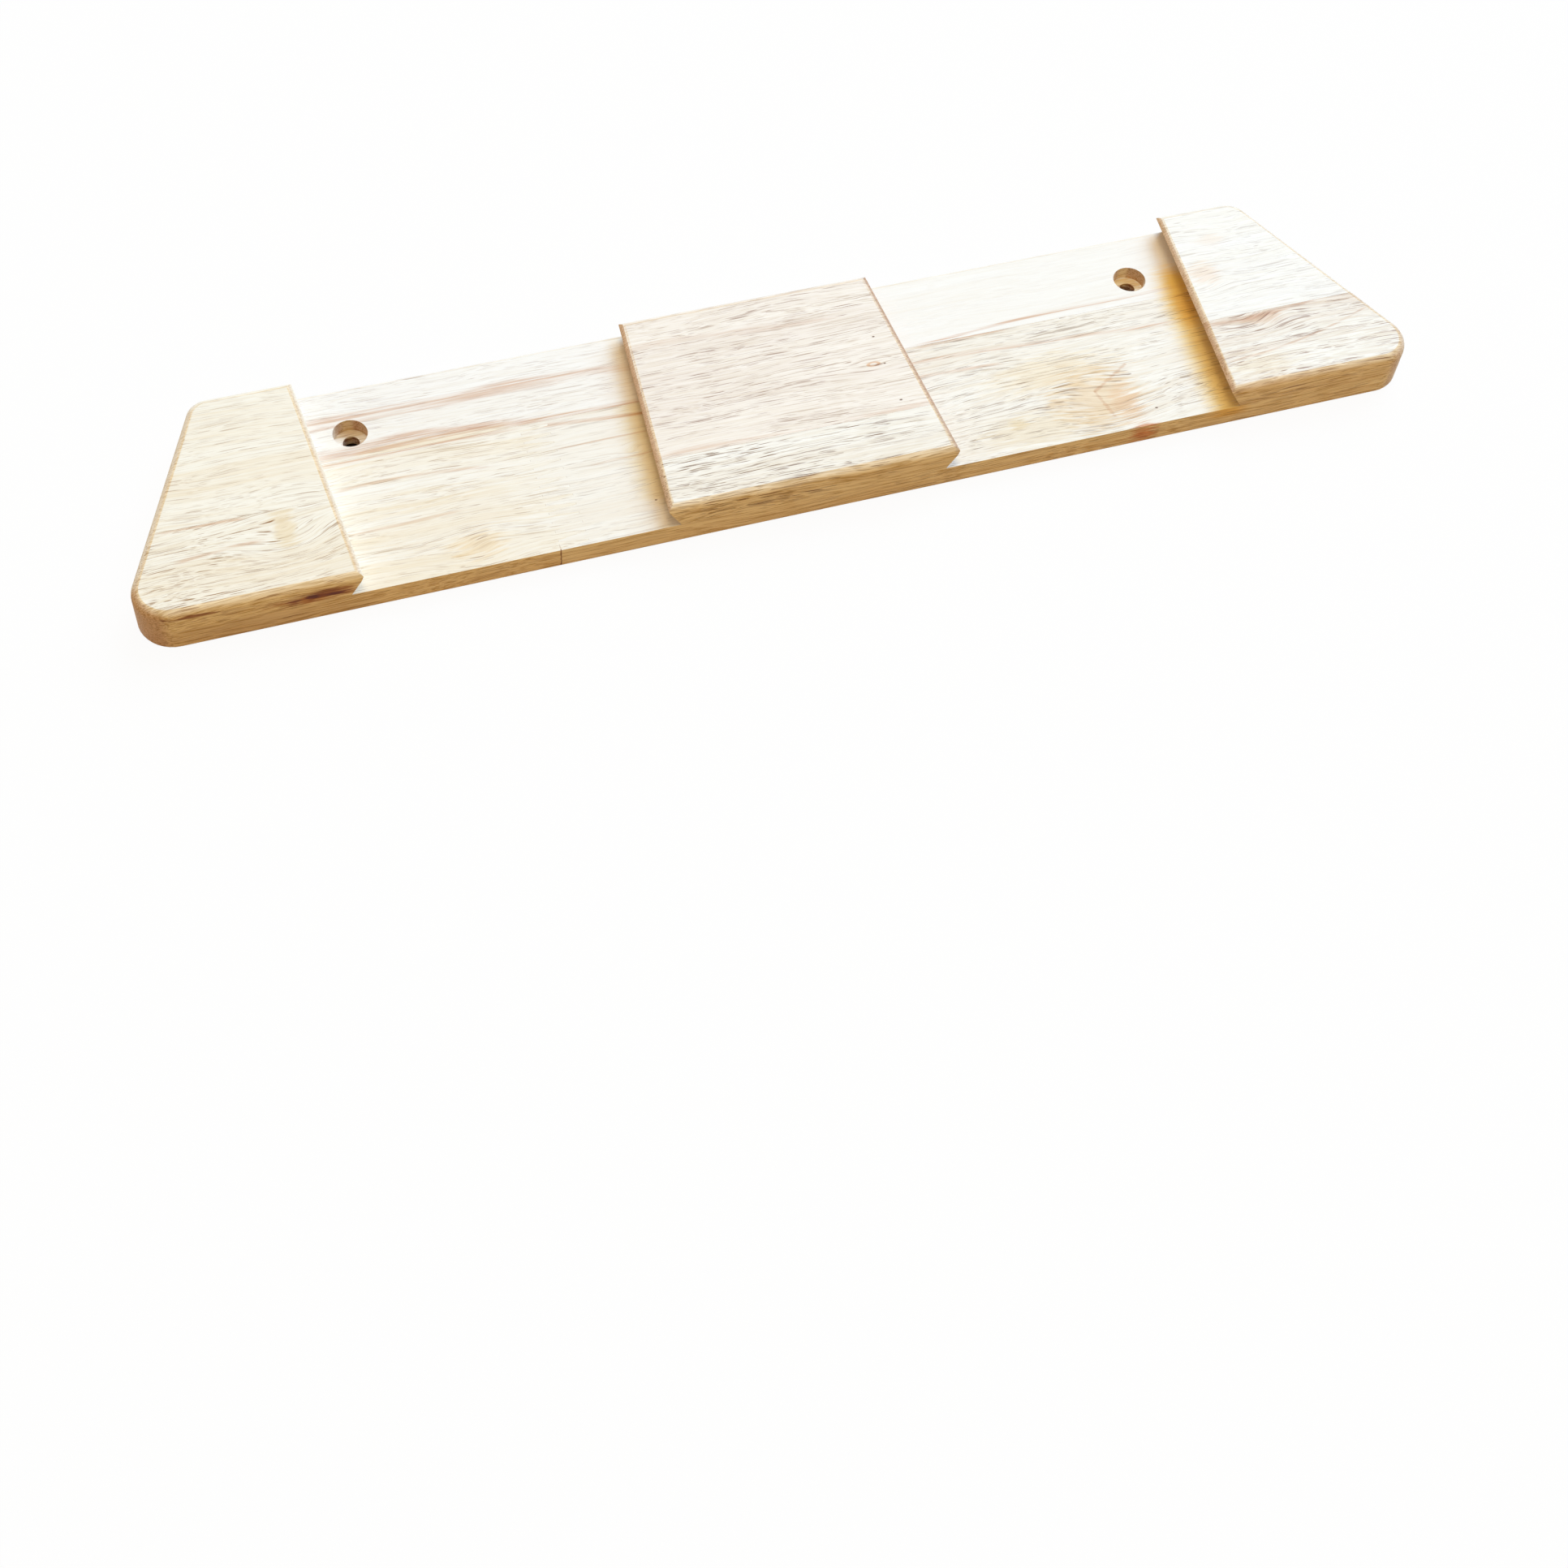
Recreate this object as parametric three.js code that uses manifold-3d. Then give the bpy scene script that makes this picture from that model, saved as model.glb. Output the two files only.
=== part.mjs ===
// A wooden wall rack that holds one pair of skis by their tips. It lies on its back as drawn:
// z = 0 is the face that goes against the wall, +Y is up on the wall, and +X is to the viewer's right.
// Each ski drops into a slot that narrows downwards, and its edges run under the slot's undercut walls.

import * as THREE from "three";
import { mergeVertices } from "three/addons/utils/BufferGeometryUtils.js";
import Module from "manifold-3d";

const wasm = await Module();
wasm.setup();

const DEGREE = Math.PI / 180;

// Backboard: a trapezium glued up from staves, with its long edge at the bottom.
const BOARD_HEIGHT = 89;
const BOARD_THICKNESS = 8.5;
const END_SLOPE = 24 * DEGREE; // of each end, from square
const LOWER_CORNER_RADIUS = 12;
const UPPER_CORNER_RADIUS = 8;
const BACK_ARRIS = 1; // eased edge against the wall
const UPPER_STAVE_WIDTH = 32.5;
const GLUE_FILM = 0.05; // between staves

// End joint in the backboard's lower stave: tapered fingers that show as a zigzag on the face.
const LEFT_STAVE_LENGTH = 139; // from the rack's left end to the joint, along the lower edge
const FINGER_LENGTH = 10;
const FINGER_PITCH = 4;
const FINGER_TIP = 0.7;

// Blocks on the backboard's face.
const BLOCK_THICKNESS = 8.5;
const BLOCK_EDGE_RADIUS = 3; // rounded over along the outside
const MIDDLE_WIDTH_BELOW = 104.5; // over the noses of its two walls, at the lower edge
const MIDDLE_WIDTH_ABOVE = 92.25;
const MIDDLE_LEAN = 1.4; // its upper edge sits this far to the right of its lower one
const MIDDLE_SETBACK = 1.5; // the middle block stops short of the backboard's upper edge
const END_WIDTH_BELOW = 73; // of an end block at the lower edge, from its nose to the rack's end
const LEFT_LOWER_STAVE_WIDTH = 34.5;
const MIDDLE_LOWER_STAVE_WIDTH = 22;
const RIGHT_LOWER_STAVE_WIDTH = 34;

// Slots: the gap between the noses of two facing walls.
const SLOT_WIDTH_BELOW = 103.25;
const SLOT_WIDTH_ABOVE = 116;
const NOSE_DROP = 1.2; // from a block's face to the nose, where the rounded edge meets the undercut
const UNDERCUT = 32 * DEGREE; // of a slot wall, from square
const SLOT_ARRIS = 2; // rounded edge of the backboard where a slot opens at the top

// Counterbored holes for the two wall screws.
const WALL_HOLE_FROM_NOSE = 10; // along the rack, from the end block's nose at the lower edge
const WALL_HOLE_BELOW_TOP = 21;
const COUNTERBORE_DIAMETER = 12;
const COUNTERBORE_DEPTH = 5;
const WALL_HOLE_DIAMETER = 5.8;

// Countersunk screws that draw the blocks down from behind while the glue sets, and stay in.
const SCREW_LENGTH = 13;
const SCREW_SHANK_DIAMETER = 3.2;
const SCREW_HEAD_DIAMETER = 7;
const SCREW_HEAD_RIM = 0.4;
const SCREW_POINT_LENGTH = 3;
const SCREW_POINT_DIAMETER = 0.8;
const SCREW_SUNK = 0.3; // below the back face
const SCREW_CLEARANCE = 0.3; // round the screw and past its point
const RECESS_SPAN = 3.6; // cross recess, over its wings
const RECESS_WING = 0.9;
const RECESS_DEPTH = 1.5;
const RECESS_FLOOR_SPAN = 1.2;
const END_SCREW_INSET = 22.5; // of an end block's screws, from the rack's upper and lower edges
const MIDDLE_SCREW_INSET = 23; // of the middle block's screws, from its slot walls

// How finely round forms are drawn, and how far a cutter runs past what it cuts.
const CORNER_STEPS = 12;
const EDGE_STEPS = 6;
const BORE_SIDES = 32;
const SCREW_SIDES = 24;
const OVERRUN = 5;

const HALF_HEIGHT = BOARD_HEIGHT / 2;
const FACE = BOARD_THICKNESS; // height of the backboard's face
const BLOCK_TOP = FACE + BLOCK_THICKNESS;
const HALF_LENGTH = MIDDLE_WIDTH_BELOW / 2 + SLOT_WIDTH_BELOW + END_WIDTH_BELOW;
// Rounding a corner takes this much off the length that the straight sides would reach.
const CORNER_LOSS = LOWER_CORNER_RADIUS * (Math.tan(END_SLOPE) + 1 / Math.cos(END_SLOPE) - 1);
const LOWER_HALF = HALF_LENGTH + CORNER_LOSS;
const UPPER_HALF = LOWER_HALF - BOARD_HEIGHT * Math.tan(END_SLOPE);
const GLUE_Y = HALF_HEIGHT - UPPER_STAVE_WIDTH;
const UNDERCUT_REACH = (BLOCK_THICKNESS - NOSE_DROP) * Math.tan(UNDERCUT);

const rubberwood = new THREE.MeshStandardMaterial({ color: 0xe6c594, roughness: 0.62, metalness: 0 });
const paleRubberwood = new THREE.MeshStandardMaterial({ color: 0xeed3a6, roughness: 0.62, metalness: 0 });
const pinkRubberwood = new THREE.MeshStandardMaterial({ color: 0xe2bc98, roughness: 0.62, metalness: 0 });
const zincSteel = new THREE.MeshStandardMaterial({ color: 0xb9bdc2, roughness: 0.35, metalness: 1 });

function solidOf(geometry) {
  const bare = geometry.clone();
  bare.deleteAttribute("normal");
  bare.deleteAttribute("uv");
  const merged = mergeVertices(bare);
  return new wasm.Manifold(
    new wasm.Mesh({
      numProp: 3,
      vertProperties: new Float32Array(merged.attributes.position.array),
      triVerts: new Uint32Array(merged.index.array),
    }),
  );
}

function geometryOf(solid) {
  const mesh = solid.getMesh();
  const positions = new Float32Array(mesh.numVert * 3);
  for (let i = 0; i < mesh.numVert; i++) {
    const start = i * mesh.numProp;
    positions.set(mesh.vertProperties.subarray(start, start + 3), i * 3);
  }
  const shared = new THREE.BufferGeometry()
    .setAttribute("position", new THREE.BufferAttribute(positions, 3))
    .setIndex(new THREE.BufferAttribute(mesh.triVerts, 1));
  const flat = shared.toNonIndexed();
  flat.computeVertexNormals();
  return flat;
}

// One ring of points round an outline whose corners are arcs. It runs anticlockwise, and inset moves
// every side inwards by the same distance, so that rings of one outline always pair up.
function ringOf(corners, inset) {
  const ring = [];
  corners.forEach(({ at, radius }, i) => {
    const before = corners[(i + corners.length - 1) % corners.length].at;
    const after = corners[(i + 1) % corners.length].at;
    const arriving = at.clone().sub(before).normalize();
    const leaving = after.clone().sub(at).normalize();
    const inwardBefore = new THREE.Vector2(-arriving.y, arriving.x);
    const inwardAfter = new THREE.Vector2(-leaving.y, leaving.x);
    const diagonal = inwardBefore.clone().add(inwardAfter);
    diagonal.divideScalar(1 + inwardBefore.dot(inwardAfter));
    if (radius === 0) {
      ring.push(at.clone().addScaledVector(diagonal, inset));
      return;
    }
    const centre = at.clone().addScaledVector(diagonal, radius);
    const from = Math.atan2(-inwardBefore.y, -inwardBefore.x);
    const turn = Math.acos(THREE.MathUtils.clamp(inwardBefore.dot(inwardAfter), -1, 1));
    for (let step = 0; step <= CORNER_STEPS; step++) {
      const angle = from + (turn * step) / CORNER_STEPS;
      const reach = radius - inset;
      ring.push(new THREE.Vector2(centre.x + reach * Math.cos(angle), centre.y + reach * Math.sin(angle)));
    }
  });
  return ring;
}

// A board of that outline, lofted through levels of height and inset, lowest first.
function slabOf(corners, levels) {
  const rings = levels.map(({ z, inset }) => ringOf(corners, inset).map((p) => [p.x, p.y, z]));
  const count = rings[0].length;
  const positions = rings.flat(2);
  const index = [];
  for (let level = 0; level + 1 < rings.length; level++) {
    for (let i = 0; i < count; i++) {
      const next = (i + 1) % count;
      const low = level * count;
      const high = low + count;
      index.push(low + i, low + next, high + next, low + i, high + next, high + i);
    }
  }
  const last = (rings.length - 1) * count;
  for (let i = 1; i + 1 < count; i++) {
    index.push(0, i + 1, i);
    index.push(last, last + i, last + i + 1);
  }
  return new THREE.BufferGeometry()
    .setAttribute("position", new THREE.Float32BufferAttribute(positions, 3))
    .setIndex(index);
}

// Levels that round an edge over by a quarter circle: up to the top face, or down to the bottom one.
function roundedTop(top, radius) {
  return Array.from({ length: EDGE_STEPS + 1 }, (_, step) => {
    const angle = (step / EDGE_STEPS) * (Math.PI / 2);
    return { z: top - radius * (1 - Math.sin(angle)), inset: radius * (1 - Math.cos(angle)) };
  });
}

function easedBottom(bottom, radius) {
  return [
    { z: bottom, inset: radius },
    { z: bottom + radius * (1 - Math.SQRT1_2), inset: radius * (1 - Math.SQRT1_2) },
    { z: bottom + radius, inset: 0 },
  ];
}

// A plain box between two corners, used to keep one side of a glue line.
function keeper(x0, x1, y0, y1) {
  const low = -OVERRUN;
  const high = BLOCK_TOP + OVERRUN;
  const box = new THREE.BoxGeometry(x1 - x0, y1 - y0, high - low);
  return solidOf(box.translate((x0 + x1) / 2, (y0 + y1) / 2, (low + high) / 2));
}

const FAR = LOWER_HALF + OVERRUN;
const BELOW = -HALF_HEIGHT - OVERRUN;
const ABOVE = HALF_HEIGHT + OVERRUN;

function lowerPart(solid, glueY) {
  return solid.intersect(keeper(-FAR, FAR, BELOW, glueY - GLUE_FILM / 2));
}

function upperPart(solid, glueY) {
  return solid.intersect(keeper(-FAR, FAR, glueY + GLUE_FILM / 2, ABOVE));
}

function revolved(profile, sides) {
  const points = profile.map(([radius, z]) => new THREE.Vector2(radius, z));
  return new THREE.LatheGeometry(points, sides).rotateX(Math.PI / 2);
}

// The nose lines of the slot walls on one side of the rack (-1 left, 1 right), as x at the lower edge
// and at the upper one.
function middleNose(side) {
  return { below: (side * MIDDLE_WIDTH_BELOW) / 2, above: (side * MIDDLE_WIDTH_ABOVE) / 2 + MIDDLE_LEAN };
}

function endNose(side) {
  const { below, above } = middleNose(side);
  return { below: below + side * SLOT_WIDTH_BELOW, above: above + side * SLOT_WIDTH_ABOVE };
}

// Where a line that has these two x values at the lower and upper edges is at height y.
function acrossAt({ below, above }, y) {
  return THREE.MathUtils.mapLinear(y, -HALF_HEIGHT, HALF_HEIGHT, below, above);
}

// The screws' places, two for each block. Those of an end block are midway across it at their height.
const screwPlaces = { left: [], middle: [], right: [] };
for (const [block, side] of [["left", -1], ["right", 1]]) {
  const end = { below: side * LOWER_HALF, above: side * UPPER_HALF };
  for (const [name, half] of [["upper", 1], ["lower", -1]]) {
    const y = half * (HALF_HEIGHT - END_SCREW_INSET);
    screwPlaces[block].push({ name, x: (acrossAt(endNose(side), y) + acrossAt(end, y)) / 2, y });
  }
  const wall = acrossAt(middleNose(side), 0);
  screwPlaces.middle.push({ name: block, x: wall - side * MIDDLE_SCREW_INSET, y: 0 });
}
const allScrews = Object.values(screwPlaces).flat();

// Outline of a screw from the axis at its head to the axis at its point, grown by a clearance.
function screwProfile(grow, bottom) {
  const head = SCREW_HEAD_DIAMETER / 2 + grow;
  const shank = SCREW_SHANK_DIAMETER / 2 + grow;
  const point = SCREW_POINT_DIAMETER / 2 + grow;
  const rim = SCREW_SUNK + SCREW_HEAD_RIM;
  const neck = rim + head - shank;
  const tip = SCREW_SUNK + SCREW_LENGTH;
  return [
    [0, bottom],
    [head, bottom],
    [head, rim],
    [shank, neck],
    [shank, tip - SCREW_POINT_LENGTH],
    [point, tip + grow],
    [0, tip + grow],
  ];
}

function screwHole({ x, y }) {
  return solidOf(revolved(screwProfile(SCREW_CLEARANCE, -OVERRUN), SCREW_SIDES).translate(x, y, 0));
}

// Cross recess in the head: two wings that taper to a small floor.
function recessWing(turn) {
  const wing = RECESS_WING / 2;
  const outer = RECESS_SPAN / 2;
  const floor = RECESS_FLOOR_SPAN / 2;
  const mouth = SCREW_SUNK;
  const slope = (outer - floor) / RECESS_DEPTH;
  const side = new THREE.Shape([
    new THREE.Vector2(-outer - slope * OVERRUN, mouth - OVERRUN),
    new THREE.Vector2(outer + slope * OVERRUN, mouth - OVERRUN),
    new THREE.Vector2(floor, mouth + RECESS_DEPTH),
    new THREE.Vector2(-floor, mouth + RECESS_DEPTH),
  ]);
  const wedge = new THREE.ExtrudeGeometry(side, { depth: RECESS_WING, bevelEnabled: false });
  return solidOf(wedge.translate(0, 0, -wing).rotateX(Math.PI / 2).rotateZ(turn));
}

function blockScrew() {
  const body = solidOf(revolved(screwProfile(0, SCREW_SUNK), SCREW_SIDES));
  return body.subtract(recessWing(Math.PI / 4)).subtract(recessWing(-Math.PI / 4));
}

// Backboard
const boardCorners = [
  { at: new THREE.Vector2(-LOWER_HALF, -HALF_HEIGHT), radius: LOWER_CORNER_RADIUS },
  { at: new THREE.Vector2(LOWER_HALF, -HALF_HEIGHT), radius: LOWER_CORNER_RADIUS },
  { at: new THREE.Vector2(UPPER_HALF, HALF_HEIGHT), radius: UPPER_CORNER_RADIUS },
  { at: new THREE.Vector2(-UPPER_HALF, HALF_HEIGHT), radius: UPPER_CORNER_RADIUS },
];

function wholeBoard() {
  return solidOf(slabOf(boardCorners, [...easedBottom(0, BACK_ARRIS), { z: FACE, inset: 0 }]));
}

function wallScrewHole(x) {
  const ledge = FACE - COUNTERBORE_DEPTH;
  const cut = revolved(
    [
      [0, -OVERRUN],
      [WALL_HOLE_DIAMETER / 2, -OVERRUN],
      [WALL_HOLE_DIAMETER / 2, ledge],
      [COUNTERBORE_DIAMETER / 2, ledge],
      [COUNTERBORE_DIAMETER / 2, FACE + OVERRUN],
      [0, FACE + OVERRUN],
    ],
    BORE_SIDES,
  );
  return solidOf(cut.translate(x, HALF_HEIGHT - WALL_HOLE_BELOW_TOP, 0));
}

// The zigzag that both halves of the lower stave follow, from the lower edge up, moved right by shift.
function fingerLine(shift) {
  const jointX = LEFT_STAVE_LENGTH - HALF_LENGTH + shift;
  const width = GLUE_Y + HALF_HEIGHT;
  const fingers = Math.max(1, Math.round(width / FINGER_PITCH));
  const half = width / fingers / 2;
  const points = [new THREE.Vector2(jointX, BELOW)];
  for (let flat = 0; flat <= 2 * fingers; flat++) {
    const x = jointX + (flat % 2) * FINGER_LENGTH;
    const y = -HALF_HEIGHT + flat * half;
    points.push(new THREE.Vector2(x, y - FINGER_TIP / 2));
    points.push(new THREE.Vector2(x, y + FINGER_TIP / 2));
  }
  points.push(new THREE.Vector2(jointX, ABOVE));
  return points;
}

function besideFingers(shift, farX) {
  const outline = new THREE.Shape([
    ...fingerLine(shift),
    new THREE.Vector2(farX, ABOVE),
    new THREE.Vector2(farX, BELOW),
  ]);
  const depth = FACE + 2 * OVERRUN;
  const prism = new THREE.ExtrudeGeometry(outline, { depth, bevelEnabled: false });
  return solidOf(prism.translate(0, 0, -OVERRUN));
}

function drilled(solid, cutters) {
  return cutters.reduce((rest, cutter) => rest.subtract(cutter), solid);
}

// Blocks
// The cutter that shapes one slot wall, where facing is 1 if the slot is to the wall's right and -1 if
// it is to its left. Its section, with x pointing into the slot, has the wall's undercut, its nose and
// the rounded edge above. It clears all of the blank on the slot's side of the nose's line.
function slotWall({ below, above }, facing) {
  const section = new THREE.Shape();
  const noseTurn = Math.acos(THREE.MathUtils.clamp(1 - NOSE_DROP / BLOCK_EDGE_RADIUS, 0, 1));
  const edgeWidth = BLOCK_EDGE_RADIUS * Math.sin(noseTurn);
  const edgeZ = BLOCK_TOP - BLOCK_EDGE_RADIUS;
  const top = Math.PI / 2;
  section.moveTo(-UNDERCUT_REACH - OVERRUN * Math.tan(UNDERCUT), FACE - OVERRUN);
  section.lineTo(HALF_LENGTH, FACE - OVERRUN);
  section.lineTo(HALF_LENGTH, BLOCK_TOP + OVERRUN);
  section.lineTo(-edgeWidth, BLOCK_TOP + OVERRUN);
  section.lineTo(-edgeWidth, BLOCK_TOP);
  section.absarc(-edgeWidth, edgeZ, BLOCK_EDGE_RADIUS, top, top - noseTurn, true);
  const lower = new THREE.Vector3(below, -HALF_HEIGHT, 0);
  const upper = new THREE.Vector3(above, HALF_HEIGHT, 0);
  // A section extruded up the rack has its x axis to the left, so one that faces right runs downwards.
  const [start, end] = facing < 0 ? [lower, upper] : [upper, lower];
  const run = end.clone().sub(start).normalize();
  const up = new THREE.Vector3(0, 0, 1);
  const into = new THREE.Vector3().crossVectors(up, run);
  const origin = start.clone().addScaledVector(run, -OVERRUN);
  const length = start.distanceTo(end);
  const wall = new THREE.ExtrudeGeometry(section, {
    depth: length + 2 * OVERRUN,
    bevelEnabled: false,
    curveSegments: EDGE_STEPS,
  });
  const place = new THREE.Matrix4().makeBasis(into, up, run).setPosition(origin);
  return solidOf(wall.applyMatrix4(place));
}

const blockLevels = [{ z: FACE, inset: 0 }, ...roundedTop(BLOCK_TOP, BLOCK_EDGE_RADIUS)];

function endBlock(side) {
  const nose = endNose(side);
  const inner = Math.min(Math.abs(nose.below), Math.abs(nose.above)) - 2 * OVERRUN;
  const corners = [
    { at: new THREE.Vector2(side * inner, -HALF_HEIGHT), radius: 0 },
    { at: new THREE.Vector2(side * LOWER_HALF, -HALF_HEIGHT), radius: LOWER_CORNER_RADIUS },
    { at: new THREE.Vector2(side * UPPER_HALF, HALF_HEIGHT), radius: UPPER_CORNER_RADIUS },
    { at: new THREE.Vector2(side * inner, HALF_HEIGHT), radius: 0 },
  ];
  if (side < 0) corners.reverse();
  const blank = solidOf(slabOf(corners, blockLevels));
  return blank.subtract(slotWall(nose, -side));
}

function middleBlock() {
  const half = Math.max(MIDDLE_WIDTH_BELOW, MIDDLE_WIDTH_ABOVE) / 2 + MIDDLE_LEAN + 2 * OVERRUN;
  const top = HALF_HEIGHT - MIDDLE_SETBACK;
  const corners = [
    { at: new THREE.Vector2(-half, -HALF_HEIGHT), radius: 0 },
    { at: new THREE.Vector2(half, -HALF_HEIGHT), radius: 0 },
    { at: new THREE.Vector2(half, top), radius: 0 },
    { at: new THREE.Vector2(-half, top), radius: 0 },
  ];
  const blank = solidOf(slabOf(corners, blockLevels));
  const walls = [-1, 1].map((side) => slotWall(middleNose(side), side));
  return drilled(blank, walls);
}

// The cutter that rounds the backboard's upper edge in one slot, from one wall's foot to the other's.
function slotArris(side) {
  const middleFoot = side * middleNose(side).above - UNDERCUT_REACH;
  const endFoot = side * endNose(side).above + UNDERCUT_REACH;
  const inner = { z: FACE - SLOT_ARRIS, y: HALF_HEIGHT - SLOT_ARRIS };
  // Drawn with x along the rack's z, and y along its y.
  const section = new THREE.Shape();
  section.moveTo(inner.z, HALF_HEIGHT + OVERRUN);
  section.lineTo(inner.z, HALF_HEIGHT);
  section.absarc(inner.z, inner.y, SLOT_ARRIS, Math.PI / 2, 0, true);
  section.lineTo(FACE + OVERRUN, inner.y);
  section.lineTo(FACE + OVERRUN, HALF_HEIGHT + OVERRUN);
  const length = endFoot - middleFoot;
  const run = new THREE.ExtrudeGeometry(section, {
    depth: length,
    bevelEnabled: false,
    curveSegments: EDGE_STEPS,
  });
  const start = side > 0 ? middleFoot + length : -middleFoot;
  return solidOf(run.rotateY(-Math.PI / 2).translate(start, 0, 0));
}

const rack = new THREE.Group();

function add(name, solid, material) {
  const mesh = new THREE.Mesh(geometryOf(solid), material);
  mesh.name = name;
  rack.add(mesh);
  return mesh;
}

const screwHoles = allScrews.map(screwHole);
const board = drilled(wholeBoard(), screwHoles);
const lowerStave = lowerPart(board, GLUE_Y);
const upperStave = upperPart(board, GLUE_Y);
const wallHoles = [-1, 1].map((side) => wallScrewHole(endNose(side).below - side * WALL_HOLE_FROM_NOSE));

const slotEdges = [-1, 1].map(slotArris);

add("backboard_upper_stave", drilled(upperStave, [...wallHoles, ...slotEdges]), rubberwood);
add("backboard_lower_left_stave", lowerStave.intersect(besideFingers(0, -FAR)), pinkRubberwood);
add("backboard_lower_right_stave", lowerStave.intersect(besideFingers(GLUE_FILM, FAR)), paleRubberwood);

const blocks = [
  ["left_block", endBlock(-1), LEFT_LOWER_STAVE_WIDTH, rubberwood, paleRubberwood],
  ["middle_block", middleBlock(), MIDDLE_LOWER_STAVE_WIDTH, pinkRubberwood, paleRubberwood],
  ["right_block", endBlock(1), RIGHT_LOWER_STAVE_WIDTH, paleRubberwood, rubberwood],
];
for (const [name, blank, lowerWidth, upperWood, lowerWood] of blocks) {
  const block = drilled(blank, screwHoles);
  const glueY = -HALF_HEIGHT + lowerWidth;
  add(name + "_upper_stave", upperPart(block, glueY), upperWood);
  add(name + "_lower_stave", lowerPart(block, glueY), lowerWood);
}

for (const [block, places] of Object.entries(screwPlaces)) {
  for (const { name, x, y } of places) {
    add(block + "_block_" + name + "_screw", blockScrew(), zincSteel).position.set(x, y, 0);
  }
}

export default rack;
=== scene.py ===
"""A wooden ski wall rack, lying on its back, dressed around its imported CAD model."""

import math

import bmesh
import bpy
from mathutils import Matrix, Vector
from mathutils.geometry import convex_hull_2d


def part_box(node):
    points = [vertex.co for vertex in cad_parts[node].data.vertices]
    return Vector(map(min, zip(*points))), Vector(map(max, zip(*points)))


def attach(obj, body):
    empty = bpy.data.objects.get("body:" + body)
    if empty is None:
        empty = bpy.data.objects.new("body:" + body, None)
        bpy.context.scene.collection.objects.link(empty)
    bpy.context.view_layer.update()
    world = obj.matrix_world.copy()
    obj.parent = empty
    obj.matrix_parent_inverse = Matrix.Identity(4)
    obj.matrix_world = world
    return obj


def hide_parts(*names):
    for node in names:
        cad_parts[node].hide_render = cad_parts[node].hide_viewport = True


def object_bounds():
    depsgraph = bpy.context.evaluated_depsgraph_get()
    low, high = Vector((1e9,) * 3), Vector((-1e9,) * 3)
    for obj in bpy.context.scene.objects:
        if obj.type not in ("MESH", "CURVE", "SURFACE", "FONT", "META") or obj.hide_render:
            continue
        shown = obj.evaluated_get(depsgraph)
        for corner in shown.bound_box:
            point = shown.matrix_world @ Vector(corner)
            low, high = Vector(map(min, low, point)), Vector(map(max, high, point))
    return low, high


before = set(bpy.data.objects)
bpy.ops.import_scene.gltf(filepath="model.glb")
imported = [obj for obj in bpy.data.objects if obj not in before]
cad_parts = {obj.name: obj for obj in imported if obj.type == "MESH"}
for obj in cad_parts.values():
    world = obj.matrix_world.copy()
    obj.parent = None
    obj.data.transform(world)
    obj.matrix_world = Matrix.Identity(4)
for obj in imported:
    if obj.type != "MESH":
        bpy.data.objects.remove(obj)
cad_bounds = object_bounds()

# --- Camera -------------------------------------------------------------------------------------
# It stands over the rack's left end and looks down at it, as in the photograph. The place, the
# turn and the lens come from a camera fitted to the rack's outline, screw holes and glue lines.
MM = 0.001
CAMERA_PLACE = Vector((-215.058, -529.638, 635.757)) * MM
CAMERA_RIGHT = Vector((0.947639, -0.312444, 0.066021))
CAMERA_FORWARD = Vector((0.223666, 0.50182, -0.835554))
CAMERA_LENS = 54.89
CAMERA_SENSOR = 36
CAMERA_NEAREST = 0.01

camera_data = bpy.data.cameras.new("camera")
camera_data.lens = CAMERA_LENS
camera_data.sensor_width = CAMERA_SENSOR
camera_data.clip_start = CAMERA_NEAREST
camera_up = CAMERA_RIGHT.cross(CAMERA_FORWARD)
camera_turn = Matrix((CAMERA_RIGHT, camera_up, -CAMERA_FORWARD)).transposed()
camera = bpy.data.objects.new("camera", camera_data)
camera.matrix_world = Matrix.Translation(CAMERA_PLACE) @ camera_turn.to_4x4()
bpy.context.scene.collection.objects.link(camera)
bpy.context.scene.camera = camera


# --- Backboard ----------------------------------------------------------------------------------
# A thin board glued up from three planed staves of rubberwood: a wide lower pair, end-jointed with
# fingers, and a narrower upper one with the two counterbored screw holes. Clear matt lacquer.
ARRIS = 0.35 * MM  # taken off each sharp edge with sandpaper
ARRIS_STEPS = 3
SHARP = math.radians(30)
STRAIGHT = math.radians(0.4)  # facets that turn less than this are one face
SQUARE_ON = 0.99  # how much of a face's normal lies along an axis where it is square to it
WELD = 0.001 * MM
GLUED = 0.1 * MM  # faces nearer than this to a glue line lie in the joint
BOARD_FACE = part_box("backboard_upper_stave")[1].z
FINGERS = (
    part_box("backboard_lower_right_stave")[0].x,
    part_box("backboard_lower_left_stave")[1].x,
)
LOWER_EDGE = cad_bounds[0][1]


def pick(piece):
    """Makes a piece the active one, and the only one selected."""
    bpy.ops.object.select_all(action="DESELECT")
    piece.select_set(True)
    bpy.context.view_layer.objects.active = piece


def is_glued(face, glue_y):
    """Says whether a face lies in a joint: a glue line, the board's face, or the fingers."""
    middle = face.calc_center_median()
    flat = abs(face.normal.z) > SQUARE_ON
    on_line = abs(face.normal.y) > SQUARE_ON and abs(middle.y - glue_y) < GLUED
    on_board = face.normal.z < -SQUARE_ON and abs(middle.z - BOARD_FACE) < GLUED
    in_fingers = (
        not flat
        and middle.z < BOARD_FACE
        and FINGERS[0] - GLUED < middle.x < FINGERS[1] + GLUED
        and LOWER_EDGE + GLUED < middle.y < glue_y
    )
    return on_line or on_board or in_fingers


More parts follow.
